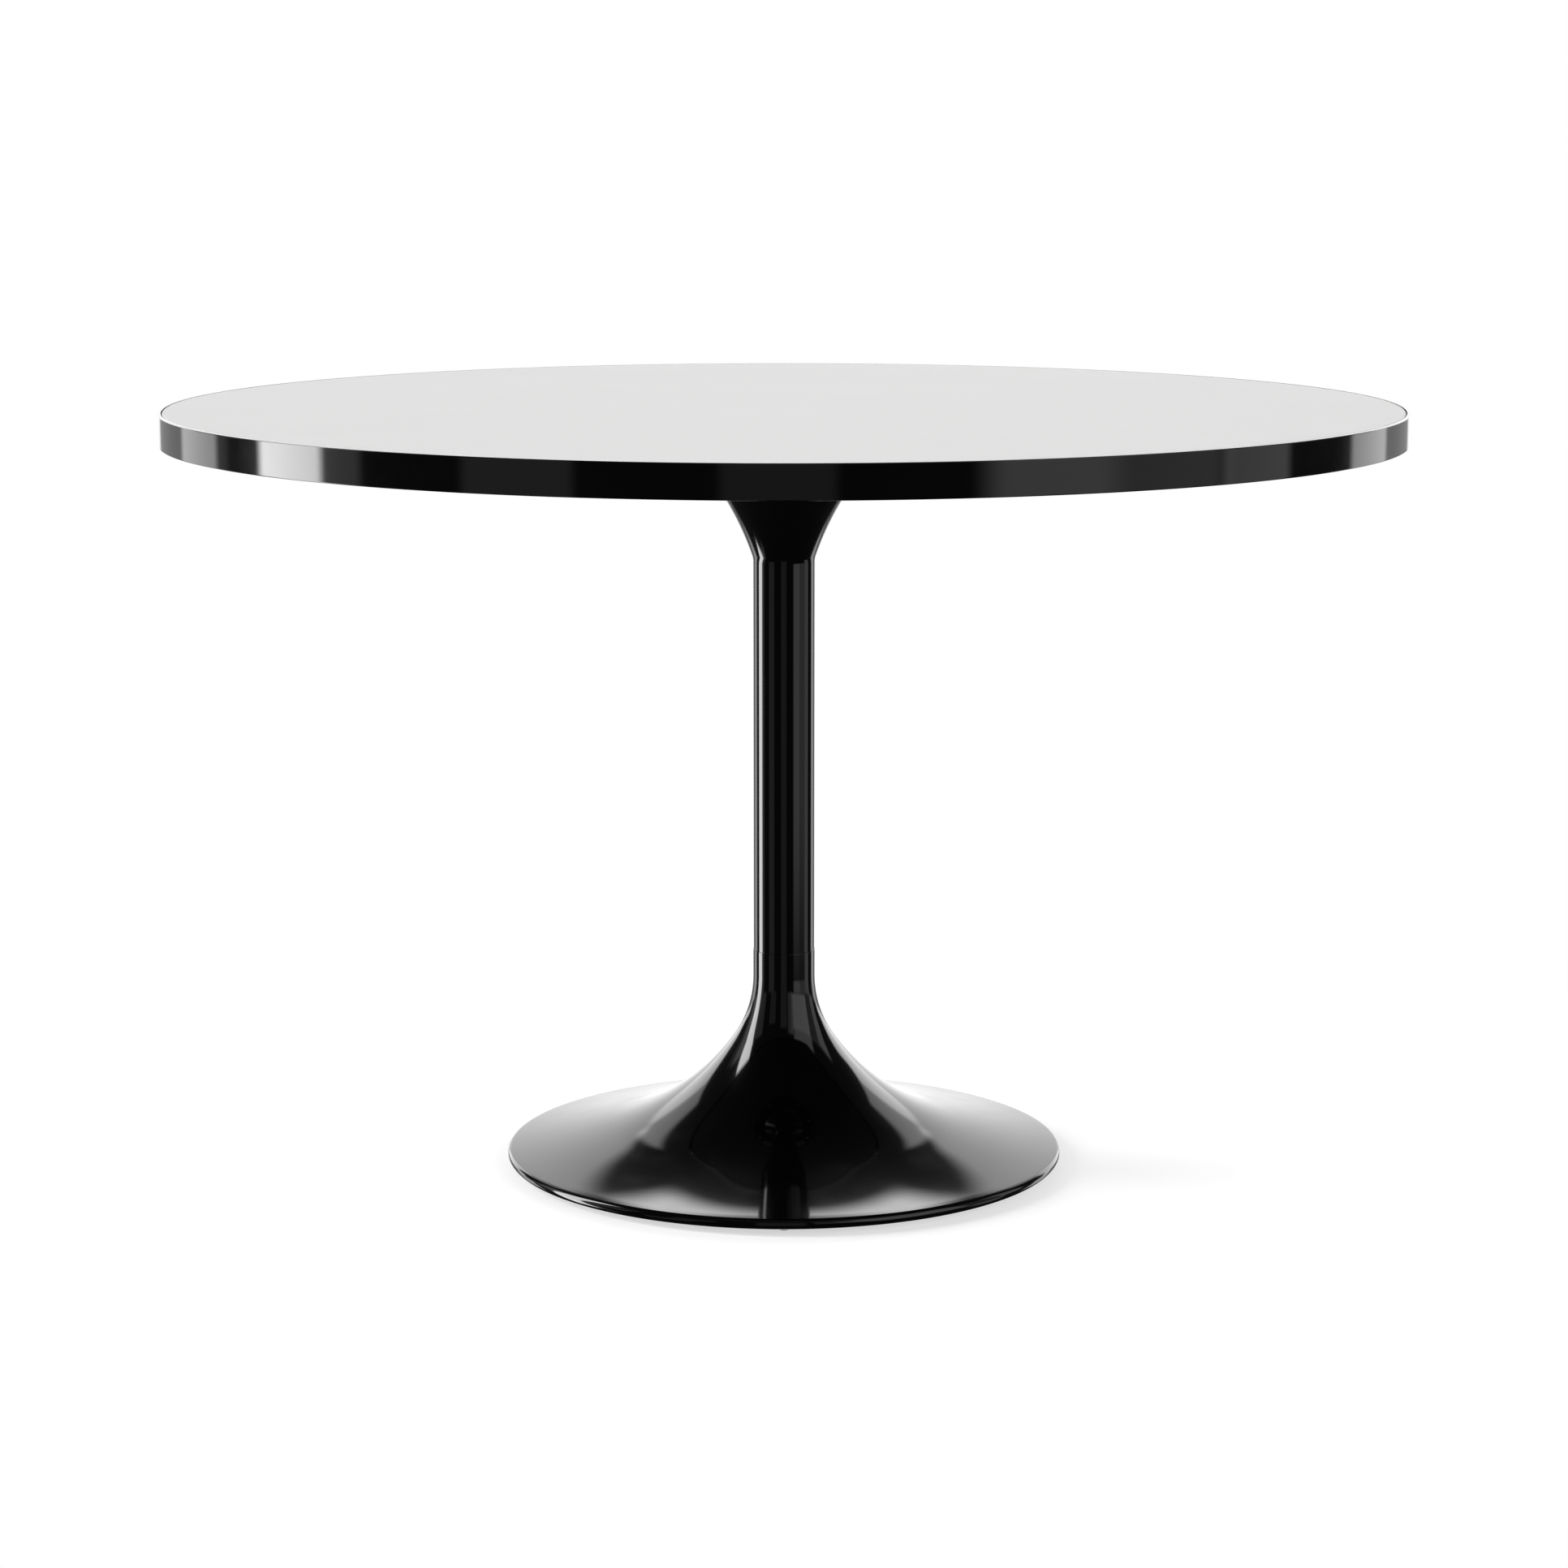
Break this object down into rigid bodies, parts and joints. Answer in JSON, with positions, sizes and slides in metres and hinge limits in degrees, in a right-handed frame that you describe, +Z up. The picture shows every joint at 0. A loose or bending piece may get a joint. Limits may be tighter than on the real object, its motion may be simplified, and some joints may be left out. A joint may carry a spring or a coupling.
{
  "type": "round pedestal table",
  "caption": "Round pedestal table: white laminate top in a black metal edge band on a slim flared column and a wide trumpet base with a rolled rim and levelling glides.",
  "frame": {"origin": "on the floor, under the column's axis, level with the glides' soles", "axes": "+Z up along the column's axis, -Y towards the front glide"},
  "size_m": [1.1998, 1.2, 0.752],
  "materials": {
    "black_lacquer": "high gloss",
    "white_laminate": "satin",
    "backing_laminate": "matt",
    "board": "raw",
    "zinc_steel": "bright zinc",
    "bare_steel": "turned",
    "cast_iron": "painted casting",
    "black_nylon": "satin"
  },
  "bodies": {
    "table": {"edge_band": "black_lacquer", "top_face": "white_laminate", "backing_sheet": "backing_laminate", "top_core": "board", "band_screws": "zinc_steel", "threaded_inserts": "zinc_steel", "plate_washers": "zinc_steel", "plate_screws": "zinc_steel", "top_plate": "black_lacquer", "top_hub": "black_lacquer", "upper_flare": "black_lacquer", "column_tube": "black_lacquer", "upper_joint_sleeve": "bare_steel", "lower_joint_sleeve": "bare_steel", "base_shell": "black_lacquer", "base_weight": "cast_iron", "tie_rod": "zinc_steel", "rod_jam_nut": "zinc_steel", "base_nut": "zinc_steel", "base_washer": "zinc_steel", "lock_washer": "zinc_steel"},
    "foot_front": {"foot_front_cap": "black_nylon"},
    "foot_front_screw": {"foot_front_stem": "zinc_steel"},
    "foot_right": {"foot_right_cap": "black_nylon"},
    "foot_right_screw": {"foot_right_stem": "zinc_steel"},
    "foot_back": {"foot_back_cap": "black_nylon"},
    "foot_back_screw": {"foot_back_stem": "zinc_steel"},
    "foot_left": {"foot_left_cap": "black_nylon"},
    "foot_left_screw": {"foot_left_stem": "zinc_steel"}
  },
  "joints": [
    {"name": "foot_front_lift", "type": "slide", "parent": "table", "child": "foot_front", "axis": [0, 0, -1], "range_m": [0, 0.004]},
    {"name": "foot_front_turn", "type": "hinge", "parent": "foot_front", "child": "foot_front_screw", "pos_m": [0, -0.252, 0], "axis": [0, 0, -1], "range_deg": [0, 1153]},
    {"name": "foot_right_lift", "type": "slide", "parent": "table", "child": "foot_right", "axis": [0, 0, -1], "range_m": [0, 0.004]},
    {"name": "foot_right_turn", "type": "hinge", "parent": "foot_right", "child": "foot_right_screw", "pos_m": [0.252, 0, 0], "axis": [0, 0, -1], "range_deg": [0, 1153]},
    {"name": "foot_back_lift", "type": "slide", "parent": "table", "child": "foot_back", "axis": [0, 0, -1], "range_m": [0, 0.004]},
    {"name": "foot_back_turn", "type": "hinge", "parent": "foot_back", "child": "foot_back_screw", "pos_m": [0, 0.252, 0], "axis": [0, 0, -1], "range_deg": [0, 1153]},
    {"name": "foot_left_lift", "type": "slide", "parent": "table", "child": "foot_left", "axis": [0, 0, -1], "range_m": [0, 0.004]},
    {"name": "foot_left_turn", "type": "hinge", "parent": "foot_left", "child": "foot_left_screw", "pos_m": [-0.252, 0, 0], "axis": [0, 0, -1], "range_deg": [0, 1153]}
  ],
  "couplings": [
    {"joint": "foot_front_turn", "follows": "foot_front_lift", "rad_per_m": 5026.5},
    {"joint": "foot_right_turn", "follows": "foot_right_lift", "rad_per_m": 5026.5},
    {"joint": "foot_back_turn", "follows": "foot_back_lift", "rad_per_m": 5026.5},
    {"joint": "foot_left_turn", "follows": "foot_left_lift", "rad_per_m": 5026.5}
  ]
}
